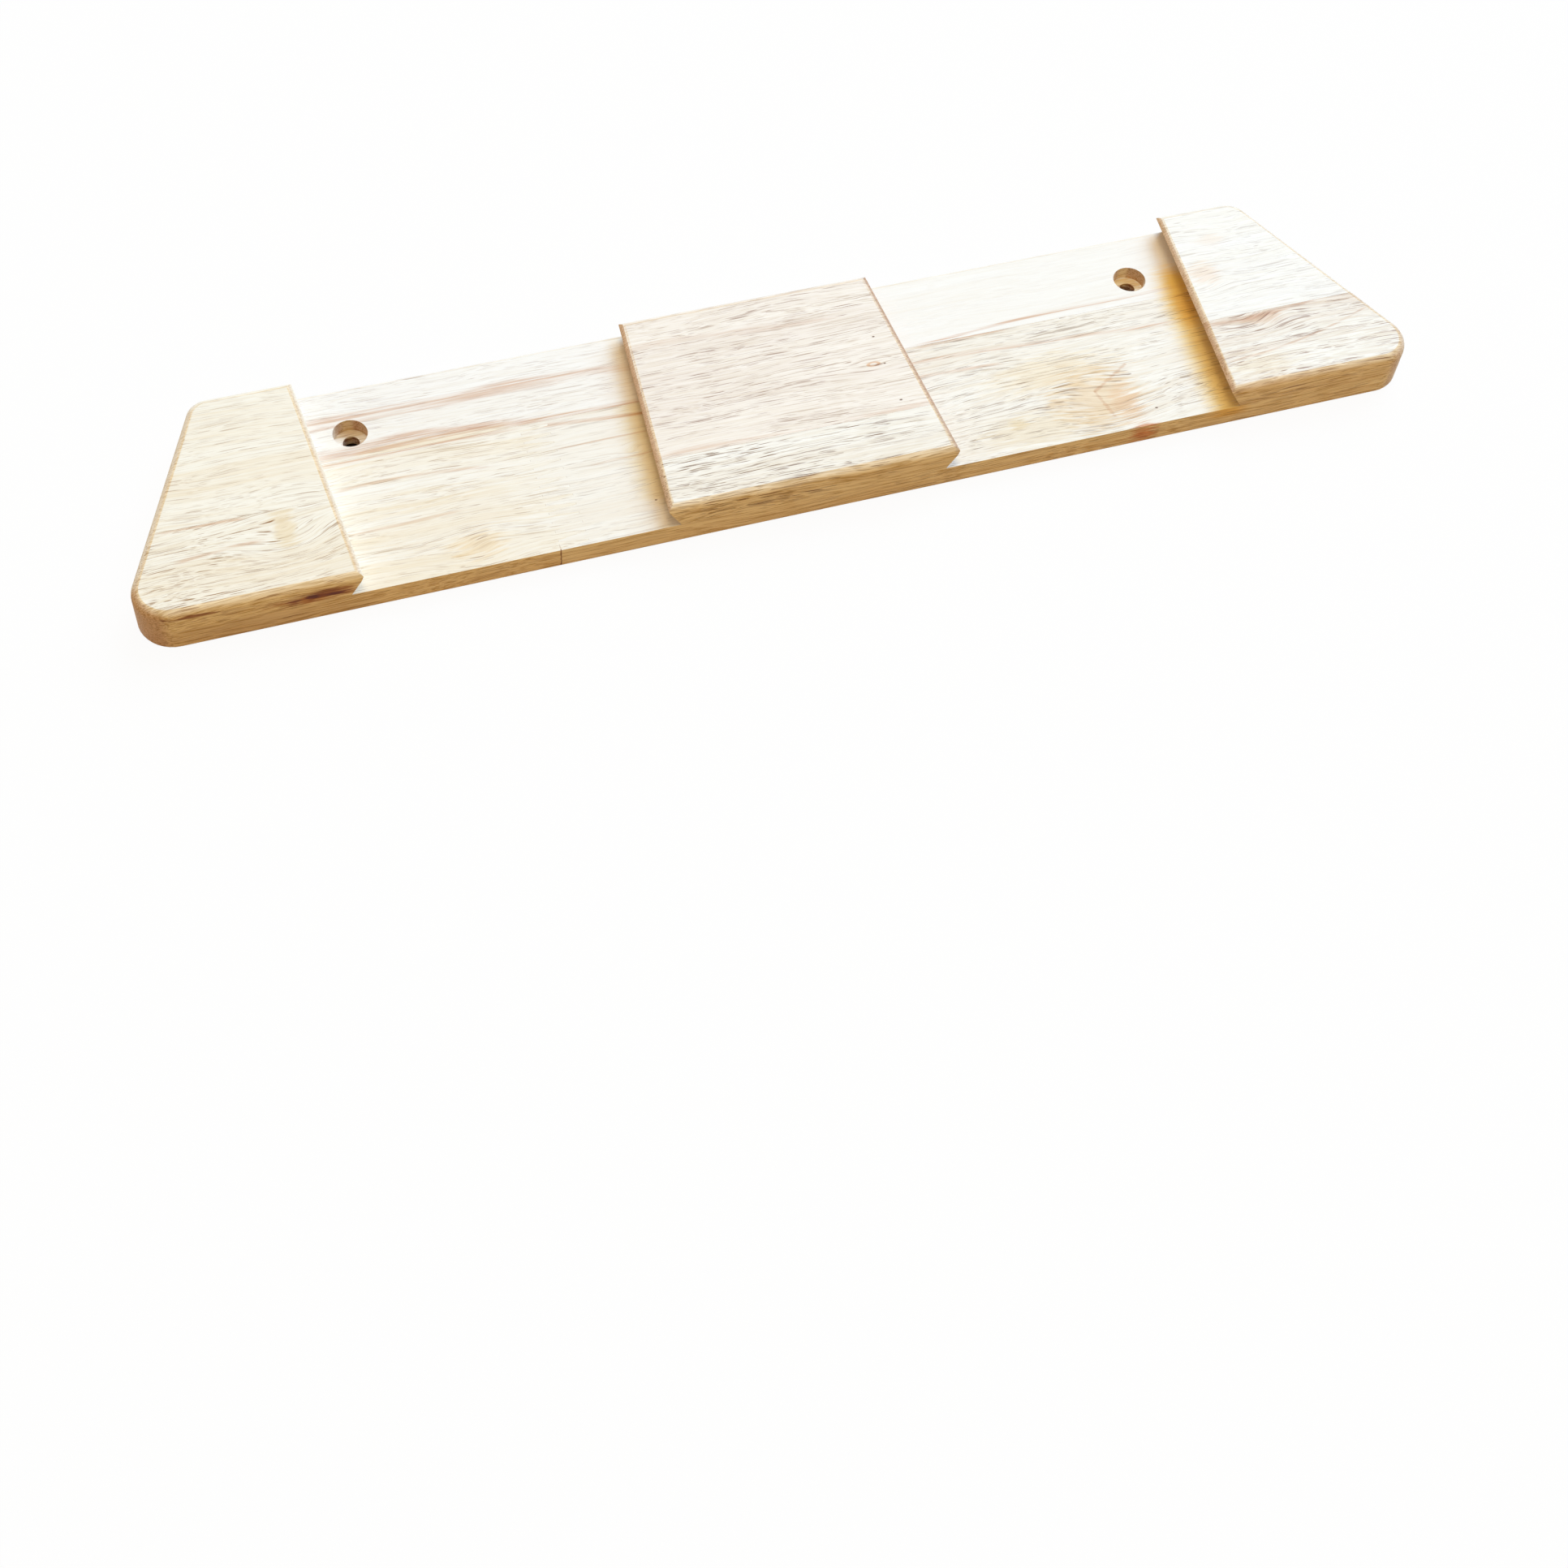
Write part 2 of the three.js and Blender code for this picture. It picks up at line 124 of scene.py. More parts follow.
def planed_stave(name, glue_y, wood):
    """Makes a stave from its CAD solid: welds it, eases its open arrises, smooths its rounds."""
    stave = bpy.data.objects.new(name + "_wood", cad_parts[name].data.copy())
    bpy.context.scene.collection.objects.link(stave)
    pick(stave)
    bpy.ops.mesh.customdata_custom_splitnormals_clear()
    bpy.ops.object.mode_set(mode="EDIT")
    bpy.ops.mesh.select_mode(type="EDGE")
    bpy.ops.mesh.select_all(action="SELECT")
    bpy.ops.mesh.remove_doubles(threshold=WELD)
    bpy.ops.mesh.dissolve_limited(angle_limit=STRAIGHT)
    bpy.ops.mesh.select_all(action="DESELECT")
    shape = bmesh.from_edit_mesh(stave.data)
    glued = {face for face in shape.faces if is_glued(face, glue_y)}
    for edge in shape.edges:
        free = not glued.intersection(edge.link_faces)
        edge.select_set(free and edge.is_manifold and edge.calc_face_angle_signed() > SHARP)
    shape.select_flush_mode()
    bmesh.update_edit_mesh(stave.data)
    bpy.ops.mesh.bevel(offset=ARRIS, segments=ARRIS_STEPS, affect="EDGES", clamp_overlap=True)
    bpy.ops.object.mode_set(mode="OBJECT")
    bpy.ops.object.shade_smooth_by_angle(angle=SHARP)
    keep_flats = stave.modifiers.new("keep the flats flat", "WEIGHTED_NORMAL")
    keep_flats.keep_sharp = True
    bpy.ops.object.modifier_apply(modifier=keep_flats.name)
    stave.data.materials.clear()
    stave.data.materials.append(wood)
    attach(stave, "root")
    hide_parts(name)
    return stave


def bare_tree(owner):
    """The node tree of a new material or world, with nothing in it."""
    owner.use_nodes = True
    owner.node_tree.nodes.clear()
    return owner.node_tree


def node(tree, kind, feeds=None, **settings):
    """Adds a shader node. feeds gives its inputs by name or number, as sockets or as values."""
    made = tree.nodes.new("ShaderNode" + kind)
    for name, value in settings.items():
        setattr(made, name, value)
    for key, feed in (feeds or {}).items():
        if isinstance(feed, bpy.types.NodeSocket):
            tree.links.new(feed, made.inputs[key])
        else:
            made.inputs[key].default_value = feed
    return made


def maths(tree, operation, a, b=0.0, clamp=False):
    return node(tree, "Math", {0: a, 1: b}, operation=operation, use_clamp=clamp).outputs[0]


def total(tree, a, b):
    return maths(tree, "ADD", a, b)


def less(tree, a, b):
    return maths(tree, "SUBTRACT", a, b)


def product(tree, *amounts):
    result = amounts[0]
    for amount in amounts[1:]:
        result = maths(tree, "MULTIPLY", result, amount)
    return result


def vectors(tree, operation, a, b):
    return node(tree, "VectorMath", {0: a, 1: b}, operation=operation).outputs[0]


def length(tree, vector):
    return node(tree, "VectorMath", {0: vector}, operation="LENGTH").outputs["Value"]


def coordinates(tree, vector):
    split = node(tree, "SeparateXYZ", {0: vector}).outputs
    return split["X"], split["Y"], split["Z"]


def ramp(tree, value, low, high, to_low=0.0, to_high=1.0):
    """Eases a value from one range into another."""
    feeds = {"Value": value, "From Min": low, "From Max": high, "To Min": to_low, "To Max": to_high}
    return node(tree, "MapRange", feeds, interpolation_type="SMOOTHSTEP").outputs["Result"]


def blended(tree, factor, a, b, how="MIX"):
    mix = node(tree, "Mix", data_type="RGBA", blend_type=how)
    for socket, feed in zip([s for s in mix.inputs if s.enabled], (factor, a, b)):
        if isinstance(feed, bpy.types.NodeSocket):
            tree.links.new(feed, socket)
        else:
            socket.default_value = feed
    return [s for s in mix.outputs if s.enabled][0]


def tinted(tree, share, wood, tint):
    """Darkens a share of the wood by a tint."""
    return blended(tree, share, wood, tint, "MULTIPLY")


def streaks(tree, point, long, wide, detail):
    """Noise drawn out along the grain. Its patches are about this long and wide, in millimetres."""
    stretched = vectors(tree, "MULTIPLY", point, (1 / long, 1 / wide, 1 / wide))
    feeds = {"Vector": stretched, "Scale": 1.0, "Detail": detail, "Roughness": 0.55}
    return node(tree, "TexNoise", feeds).outputs[0]


def dashes(tree, point, long, wide, share):
    """Vessels cut open along the grain: drawn-out cells, of which a share holds a dark dash."""
    stretched = vectors(tree, "MULTIPLY", point, (1 / long, 1 / wide, 1 / wide))
    cells = node(tree, "TexVoronoi", {"Vector": stretched, "Scale": 1.0}).outputs
    chance = node(tree, "SeparateColor", {0: cells["Color"]}).outputs
    reach = ramp(tree, chance[1], 0.0, 1.0, 0.23, 0.4)
    inside = ramp(tree, maths(tree, "DIVIDE", cells["Distance"], reach), 1.0, 0.5)
    taken = ramp(tree, less(tree, share, chance[0]), 0.0, 0.04)
    return product(tree, inside, taken, ramp(tree, chance[2], 0.0, 1.0, 0.35, 1.0))


def wobble(tree, point, closeness, reach):
    """Noise that sways the grain to either side by up to half this reach, in millimetres."""
    close = vectors(tree, "MULTIPLY", point, closeness)
    swing = node(tree, "TexNoise", {"Vector": close, "Scale": 1.0, "Detail": 2.0}).outputs[1]
    swing = vectors(tree, "SUBTRACT", swing, (0.5, 0.5, 0.5))
    return vectors(tree, "MULTIPLY", swing, (0, reach, reach))


def colour(red, green, blue):
    """A colour as it looks on screen, from 0 to 255, as the linear one that shaders take."""
    parts = [c / 255 for c in (red, green, blue)]
    linear = [c / 12.92 if c <= 0.04045 else ((c + 0.055) / 1.055) ** 2.4 for c in parts]
    return (*linear, 1.0)


PITH_BELOW = 34.0  # in millimetres, as all of the grain is
PITH_DIP = 0.07  # and how much lower it lies for each millimetre along the stave
RING_WIDTH = 2.6


def grain_group():
    """Rubberwood in the solid: soft bands, growth rings, fine streaks and short dark vessels."""
    tree = bpy.data.node_groups.new("rubberwood_grain", "ShaderNodeTree")
    for name, way, kind in (
        ("Point", "INPUT", "Vector"),
        ("Pale", "INPUT", "Color"),
        ("Warm", "INPUT", "Color"),
        ("Vessel", "INPUT", "Color"),
        ("Banding", "INPUT", "Float"),
        ("Vessels", "INPUT", "Float"),
        ("Rings", "INPUT", "Float"),
        ("Edge", "INPUT", "Float"),
        ("Color", "OUTPUT", "Color"),
        ("Depth", "OUTPUT", "Float"),
        ("Streak", "OUTPUT", "Float"),
    ):
        tree.interface.new_socket(name, in_out=way, socket_type="NodeSocket" + kind)
    given = tree.nodes.new("NodeGroupInput").outputs

    # The grain sways by a few millimetres along the stave, and its fibres waver a little.
    sway = wobble(tree, given["Point"], (0.011, 0.035, 0.035), 9)
    point = vectors(tree, "ADD", given["Point"], sway)
    waver = wobble(tree, given["Point"], (0.09, 0.4, 0.4), 0.9)
    fibre = vectors(tree, "ADD", point, waver)

    # Soft bands and thin stripes run along it.
    band = ramp(tree, streaks(tree, point, 260, 9, 3.0), 0.38, 0.66)
    band = product(tree, band, given["Banding"])
    stripe = product(tree, ramp(tree, streaks(tree, fibre, 60, 1.3, 3.0), 0.46, 0.7), 0.45)

    # Growth rings stand round a pith that lies below the stave and dips along it.
    x, y, z = coordinates(tree, point)
    depth = total(tree, z, total(tree, product(tree, x, PITH_DIP), PITH_BELOW))
    squares = total(tree, product(tree, y, y), product(tree, depth, depth))
    rings_out = maths(tree, "DIVIDE", maths(tree, "SQRT", squares), RING_WIDTH)
    ring_at = node(tree, "CombineXYZ", {0: rings_out}).outputs[0]
    ring = node(tree, "TexNoise", {"Vector": ring_at, "Scale": 1.0, "Detail": 2.0}).outputs[0]
    ring = product(tree, ramp(tree, ring, 0.45, 0.7), given["Rings"])
    tone = maths(tree, "ADD", band, total(tree, stripe, ring), clamp=True)
    wood = blended(tree, tone, given["Pale"], given["Warm"])

    # Hair-fine streaks darken it, more so where it has many vessels, and blue more than red.
    hair = streaks(tree, fibre, 26, 0.42, 2.0)
    shade = ramp(tree, hair, 0.36, 0.72, 0.03, -0.08)
    shade = total(tree, shade, ramp(tree, stripe, 0.0, 0.4, 0.0, -0.02))
    contrast = ramp(tree, given["Edge"], 0.0, 1.0, 1.0, 1.4)
    shade = product(tree, shade, contrast, ramp(tree, given["Vessels"], 0.0, 1.0, 0.2, 1.1))
    # Edge grain is livelier: long dark lines on a lighter ground.
    apart = vectors(tree, "ADD", fibre, (11.3, 2.9, 4.7))
    lively = ramp(tree, streaks(tree, apart, 22, 0.45, 3.0), 0.42, 0.66, 0.12, -0.35)
    shade = total(tree, shade, product(tree, lively, given["Edge"]))
    shares = [total(tree, product(tree, shade, part), 1.0) for part in (0.8, 1.1, 1.6)]
    wood = tinted(tree, 1.0, wood, node(tree, "CombineColor", dict(enumerate(shares))).outputs[0])

    # Vessels crowd together in places: bold dashes, faint ones, and long thin grooves.
    crowd = ramp(tree, streaks(tree, point, 45, 5, 2.0), 0.36, 0.62, 0.25, 1.0)
    bold = dashes(tree, fibre, 20, 0.62, product(tree, crowd, given["Vessels"], 0.9))
    aside = vectors(tree, "ADD", fibre, (31.7, 5.3, 8.1))
    faint = dashes(tree, aside, 12, 0.46, product(tree, crowd, 1.3))
    groove = ramp(tree, streaks(tree, fibre, 36, 0.42, 1.0), 0.57, 0.69)
    groove = product(tree, groove, crowd, 0.55)
    vessel = maths(tree, "MAXIMUM", product(tree, faint, 0.5), groove)
    vessel = maths(tree, "MAXIMUM", product(tree, bold, 0.85), vessel)
    dark = product(tree, vessel, total(tree, given["Vessels"], 0.15))
    fewer = ramp(tree, given["Edge"], 0.0, 1.0, 1.0, 0.9)
    dark = maths(tree, "MULTIPLY", dark, fewer, clamp=True)
    wood = blended(tree, dark, wood, tinted(tree, 1.0, wood, given["Vessel"]))

    out = tree.nodes.new("NodeGroupOutput")
    for name, socket in (("Color", wood), ("Depth", vessel), ("Streak", hair)):
        tree.links.new(socket, out.inputs[name])
    return tree


def flowing(tree, point, run, figures):
    """Moves a point so that the grain runs off to one side, parts round knots and leans."""
    x, y, z = coordinates(tree, point)
    flow = total(tree, y, product(tree, x, run))
    for (centre_x, centre_y), reach, part, lean in figures:
        off_x = less(tree, x, centre_x)
        off_y = less(tree, y, centre_y)
        short = product(tree, off_x, 0.6)
        squares = total(tree, product(tree, short, short), product(tree, off_y, off_y))
        near = maths(tree, "EXPONENT", maths(tree, "DIVIDE", squares, -reach * reach))
        push = total(tree, product(tree, off_y, -part), product(tree, off_x, -lean))
        flow = total(tree, flow, product(tree, push, near))
    return node(tree, "CombineXYZ", {0: x, 1: flow, 2: z}).outputs[0]


def edge_end_and_shade(tree, normal, grown, right_edge):
    """How far a face shows edge grain, and how far end grain.

    The rounds and the upright faces do, with a ragged start and more of it further down. The
    faces along the upper edge show little of it, and those on the right what right_edge says.
    Those faces look towards the key lamp, so the tone's falling off there is painted light, and
    its full weight on the front and left faces is partly painted shade.
    """
    to_x, to_y, to_z = coordinates(tree, normal)
    level = maths(tree, "ABSOLUTE", to_z)
    ragged = product(tree, streaks(tree, grown, 3, 0.5, 2.0), 0.006)
    edge = ramp(tree, total(tree, level, ragged), 1.002, 0.994)
    edge = product(tree, edge, ramp(tree, level, 0.3, 0.95, 1.0, 0.72))
    edge = product(tree, edge, ramp(tree, to_y, 0.0, 0.3, 1.0, 0.15))
    edge = product(tree, edge, ramp(tree, to_x, 0.1, 0.9, 1.0, right_edge))
    return edge, product(tree, edge, ramp(tree, maths(tree, "ABSOLUTE", to_x), 0.1, 0.5))


STAIN = colour(222, 186, 160)
PIN_RIM = colour(234, 194, 158)
SPECK = colour(126, 98, 82)
THROUGH_MIDDLE, THROUGH_HALF = 12, 99  # height and half depth of a patch that goes right through


def stained_lines(tree, wood, point, grown, lines):
    """Lays stained streaks along the grain, each on a curve through three points."""
    x, y, _ = coordinates(tree, point)
    broken = ramp(tree, streaks(tree, grown, 40, 0.8, 3.0), 0.36, 0.62, 0.2, 1.0)
    wander = less(tree, streaks(tree, grown, 50, 20, 1.0), 0.5)
    for (x0, y0), (x1, y1), (x2, y2), width, strength in lines:
        bend = ((y2 - y0) / (x2 - x0) - (y1 - y0) / (x1 - x0)) / (x2 - x1)
        slope = (y1 - y0) / (x1 - x0) - bend * (x1 + x0)
        level = y0 - slope * x0 - bend * x0 * x0
        curve = total(tree, product(tree, x, x, bend), product(tree, x, slope))
        off = less(tree, less(tree, y, curve), level)
        off = less(tree, off, product(tree, wander, 2.5 * width))
        inside = ramp(tree, maths(tree, "ABSOLUTE", off), width, 0.2 * width)
        half = abs(x2 - x0) / 2
        from_middle = maths(tree, "ABSOLUTE", less(tree, x, (x0 + x2) / 2))
        ends = ramp(tree, from_middle, half * 1.15, half * 0.8)
        wood = tinted(tree, product(tree, inside, ends, broken, strength), wood, STAIN)
    return wood


def tinted_strokes(tree, wood, point, torn, strokes):
    """Tints strokes between two points, with torn sides, on the upper part of a stave alone."""
    height = coordinates(tree, point)[2]
    on_top = ramp(tree, height, 3.0, 6.0)
    for (x0, y0), (x1, y1), width, tint, strength in strokes:
        along = Vector((x1 - x0, y1 - y0))
        off = vectors(tree, "SUBTRACT", point, (x0, y0, 0))
        share = node(tree, "VectorMath", {0: off, 1: (*along, 0)}, operation="DOT_PRODUCT")
        share = maths(tree, "DIVIDE", share.outputs["Value"], along.length_squared, clamp=True)
        feeds = {0: product(tree, share, along.x), 1: product(tree, share, along.y), 2: height}
        nearest = node(tree, "CombineXYZ", feeds).outputs[0]
        gap = length(tree, vectors(tree, "SUBTRACT", off, nearest))
        gap = total(tree, gap, product(tree, torn, 2.4 * math.sqrt(width)))
        inside = product(tree, ramp(tree, gap, width, 0.1 * width), on_top, strength)
        wood = tinted(tree, inside, wood, tint)
    return wood


def tinted_patches(tree, wood, point, torn, patches):
    """Tints round patches with torn sides. One that gives no height goes right through."""
    for centre, half, tint, strength in patches:
        if len(centre) == 2:
            centre, half = (*centre, THROUGH_MIDDLE), (*half, THROUGH_HALF)
        off = vectors(tree, "DIVIDE", vectors(tree, "SUBTRACT", point, centre), half)
        far = total(tree, length(tree, off), product(tree, torn, 2.6))
        wood = tinted(tree, product(tree, ramp(tree, far, 1.25, 0.4), strength), wood, tint)
    return wood


def pins_and_specks(tree, wood, point, pins, specks):
    """Draws pins, small round knots with a darker rim, and dark specks."""
    x, y, _ = coordinates(tree, point)
    for (centre_x, centre_y), (half_x, half_y) in pins:
        off_x = maths(tree, "DIVIDE", less(tree, x, centre_x), half_x)
        off_y = maths(tree, "DIVIDE", less(tree, y, centre_y), half_y)
        squares = total(tree, product(tree, off_x, off_x), product(tree, off_y, off_y))
        from_rim = less(tree, maths(tree, "SQRT", squares), 0.75)
        rim = ramp(tree, maths(tree, "ABSOLUTE", from_rim), 0.4, 0.1)
        wood = tinted(tree, product(tree, rim, 0.8), wood, PIN_RIM)
    for centre_x, centre_y, radius in specks:
        off = vectors(tree, "SUBTRACT", point, (centre_x, centre_y, 0))
        far = length(tree, vectors(tree, "MULTIPLY", off, (0.6, 1, 0)))
        wood = tinted(tree, ramp(tree, far, radius, 0.3 * radius), wood, SPECK)
    return wood


grain = grain_group()
EDGE_TINT = colour(245, 218, 172)  # edge grain drinks more lacquer than a face does; laid on most on faces turned from the key lamp, it is partly painted shade
END_TINT = colour(222, 205, 204)  # and end grain more again, likewise partly painted shade
LACQUER_ROUGHNESS = 0.55
LACQUER_IOR = 1.48
LACQUER_SPECULAR = 0.3
VESSEL_DEPTH = 0.06 * MM
VESSEL_RELIEF = 0.6  # how much of that depth the lacquer leaves


def rubberwood(
    name,
    pale,
    warm,
    vessel,
    shift,
    run=0.0,
    banding=0.8,
    vessels=0.7,
    rings=0.25,
    right_edge=0.3,
    **marks,
):
    """One stave's own wood. All lengths are in millimetres.

    shift moves it to another part of the tree, and run is how far the grain runs off in y for each
    millimetre of x. vessels is how many there are, or two places along x and how many there are at
    each. right_edge is how much of the edge's darker tone the edges on the right have; as they face
    the key lamp, a low value there is painted light.
    The marks are figures, which the grain parts round or leans at (a point, a reach, a part and a
    lean), lines (three points, a width and a strength), strokes (two points, a width, a tint and a
    strength), patches (a centre, its half sizes, a tint and a strength), pins and specks.
    """
    material = bpy.data.materials.new(name)
    tree = bare_tree(material)
    place = node(tree, "TexCoord").outputs
    point = vectors(tree, "MULTIPLY", place["Object"], (1 / MM, 1 / MM, 1 / MM))
    grown = vectors(tree, "ADD", flowing(tree, point, run, marks.get("figures", ())), shift)
    edge, end = edge_end_and_shade(tree, place["Normal"], grown, right_edge)
    if isinstance(vessels, tuple):
        vessels = ramp(tree, coordinates(tree, point)[0], *vessels)
    vessels = product(tree, ramp(tree, end, 0.0, 1.0, 1.0, 0.5), vessels)

    feeds = {"Point": grown, "Pale": pale, "Warm": warm, "Vessel": vessel, "Edge": edge}
    feeds |= {"Banding": banding, "Vessels": vessels, "Rings": rings}
    solid = node(tree, "Group", feeds, node_tree=grain).outputs
    torn = less(tree, streaks(tree, grown, 10, 0.8, 4.0), 0.5)
    wood = stained_lines(tree, solid["Color"], point, grown, marks.get("lines", ()))
    wood = tinted_strokes(tree, wood, point, torn, marks.get("strokes", ()))
    wood = tinted_patches(tree, wood, point, torn, marks.get("patches", ()))
    pins, specks = marks.get("pins", ()), marks.get("specks", ())
    wood = pins_and_specks(tree, wood, point, pins, specks)
    wood = tinted(tree, end, tinted(tree, edge, wood, EDGE_TINT), END_TINT)

    relief = less(tree, product(tree, solid["Streak"], 0.3), solid["Depth"])
    relief = product(tree, relief, ramp(tree, vessels, 0.0, 0.8, 0.3, 1.0))
    feeds = {"Height": relief, "Distance": VESSEL_DEPTH, "Strength": VESSEL_RELIEF}
    bump = node(tree, "Bump", feeds).outputs[0]
    smooth, dull = LACQUER_ROUGHNESS - 0.06, LACQUER_ROUGHNESS + 0.08
    roughness = ramp(tree, solid["Streak"], 0.3, 0.7, smooth, dull)
    feeds = {"Base Color": wood, "Roughness": roughness, "Normal": bump}
    feeds |= {"IOR": LACQUER_IOR, "Specular IOR Level": LACQUER_SPECULAR}
    shader = node(tree, "BsdfPrincipled", feeds).outputs[0]
    node(tree, "OutputMaterial", {"Surface": shader})
    return material


CREAM = colour(255, 253, 244)
CHALK = colour(255, 254, 249)
SNOW = colour(255, 255, 254)
IVORY = colour(252, 249, 243)
STRAW = colour(250, 241, 222)
BUFF = colour(248, 242, 231)
ROSE = colour(247, 239, 231)
TAN_VESSEL = colour(165, 128, 92)
ROSY_VESSEL = colour(165, 135, 122)
GREY_VESSEL = colour(142, 112, 92)
PAINTED_SHADOW_AMBER = colour(254, 227, 147)  # painted shadow, golden, on the board beside a block's left wall
# a deeper painted shadow, beside the right block's left wall
PAINTED_SHADOW_HONEY = colour(252, 212, 96)
BARE_END = colour(190, 150, 130)  # bare wood in the screw holes
WALL_HOLES = ((-145.5, 23.5), (145.5, 23.5))  # their middles, in millimetres
board_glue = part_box("backboard_lower_right_stave")[1].y

planed_stave(
    "backboard_upper_stave",
    board_glue,
    rubberwood(
        "wood of the upper backboard",
        SNOW,
        IVORY,
        ROSY_VESSEL,
        (40, 310, 12),
        banding=0.4,
        vessels=(40, -70, 0.0, 0.45),
        rings=0.15,
        lines=[
            # above and below the left screw hole, and one faint line at the right
            ((-162, 30.7), (-95, 30.8), (-44, 28.8), 2.6, 0.8),
            ((-162, 27.5), (-110, 28.5), (-70, 27.8), 1.2, 0.6),
            ((-162, 16), (-120, 16.6), (-80, 13.6), 2.8, 0.85),
            ((-162, 13.4), (-100, 14), (-42, 12.6), 1.4, 0.9),
            ((56, 12.4), (115, 15.3), (163, 15.8), 0.9, 0.9),
        ],
        patches=[
            # a creamy streak, painted shade on the two counterbores' floors, and the holes through
            ((-120, 12.8), (38, 2.6), colour(250, 240, 220), 0.9),
            ((-144.5, 28, 3.3), (7, 5, 1.3), colour(232, 220, 196), 1.0),
            ((145.5, 25, 3.3), (7.5, 7, 1.3), colour(243, 222, 176), 1.0),
            *(((x, y, 1.9), (4, 4, 2.2), BARE_END, 1.0) for x, y in WALL_HOLES),
        ],
        strokes=[
            # painted shadow on the board beside the middle block's left wall and the right block's
            # left wall
            ((-47.5, 10), (-44.6, 46), 7, colour(253, 249, 238), 0.9),
            ((160.5, 8), (161.8, 19), 11, PAINTED_SHADOW_HONEY, 0.9),
        ],
    ),
)
planed_stave(
    "backboard_lower_left_stave",
    board_glue,
    rubberwood(
        "wood of the lower left backboard",
        CHALK,
        STRAW,
        TAN_VESSEL,
        (-200, 40, 30),
        banding=0.6,
        vessels=0.6,
        figures=[((-114, -36), 9, 0.7, 0.1)],
        patches=[
            # round the figure, the finger joint's end on the front face, that face's duller
            # left part, and a creamy part of the top
            ((-115, -35), (9, 6), colour(250, 236, 212), 0.7),
            ((-89.6, -45, 4), (0.35, 3, 9), colour(150, 104, 66), 0.9),
            ((-190, -46, 4), (38, 3, 9), colour(232, 226, 224), 0.9),
            ((-122, -22), (34, 14), colour(252, 248, 241), 0.9),
        ],
        lines=[
            ((-162, 11), (-128, 11.4), (-90, 10.9), 1.3, 0.9),
            ((-156, -0.8), (-130, -0.4), (-104, -2.9), 1.0, 0.6),
            ((-156, -20.3), (-140, -19.6), (-118, -19.4), 1.1, 0.4),
        ],
    ),
)
planed_stave(
    "backboard_lower_right_stave",
    board_glue,
    rubberwood(
        "wood of the lower right backboard",
        CHALK,
        BUFF,
        GREY_VESSEL,
        (300, -70, 50),
        banding=0.6,
        vessels=(30, -50, 0.78, 0.35),
        figures=[
            ((112, -25), 13, 0.75, -0.15),
            ((92, -8), 18, 0.0, -0.12),
            ((-53, -8), 3, 0.8, 0.3),
        ],
        patches=[
            # round the large figure, on the front face below it, and to the left of it
            ((112, -28), (17, 15), colour(244, 226, 200), 0.9),
            ((121, -33), (6, 9), colour(248, 226, 208), 0.6),
            ((123, -46, 5), (6, 3, 7), colour(218, 148, 92), 0.9),
            ((80, -32), (4, 2.5), colour(243, 230, 200), 0.6),
            ((86, -36), (24, 8), colour(249, 242, 228), 0.9),
            ((100, -12), (26, 9), colour(251, 241, 222), 0.8),
        ],
        strokes=[
            # a V in the figure, then painted shadow on the board beside the middle and right
            # blocks' left walls
            ((127.4, -15.3), (111.8, -24.8), 1.0, STAIN, 0.5),
            ((111.8, -24.8), (114.4, -37.4), 1.0, STAIN, 0.4),
            ((-50.8, -27), (-48, 8), 10, colour(251, 242, 212), 0.9),
            ((155.5, -46), (160.5, 14), 11, PAINTED_SHADOW_AMBER, 0.9),
            ((159.6, 2), (161, 16), 9, PAINTED_SHADOW_AMBER, 0.6),
        ],
        lines=[
            ((50, 4.5), (90, 3), (152, -0.2), 1.2, 0.8),
            ((50, -3), (64, -2.8), (84, -4), 1.2, 0.6),
            ((57, 10.9), (75, 11.2), (92, 11.6), 1.0, 0.8),
            ((-90, 10.9), (-70, 9.4), (-42, 6.2), 1.2, 0.9),
            ((-80, -1.5), (-60, -1.3), (-42, -1.2), 0.7, 0.6),
            ((-70, -11.5), (-60, -11.2), (-45, -11), 0.6, 0.5),
        ],
        specks=[(130.4, -37.5, 0.5), (-53, -31.9, 0.4)],
    ),
)


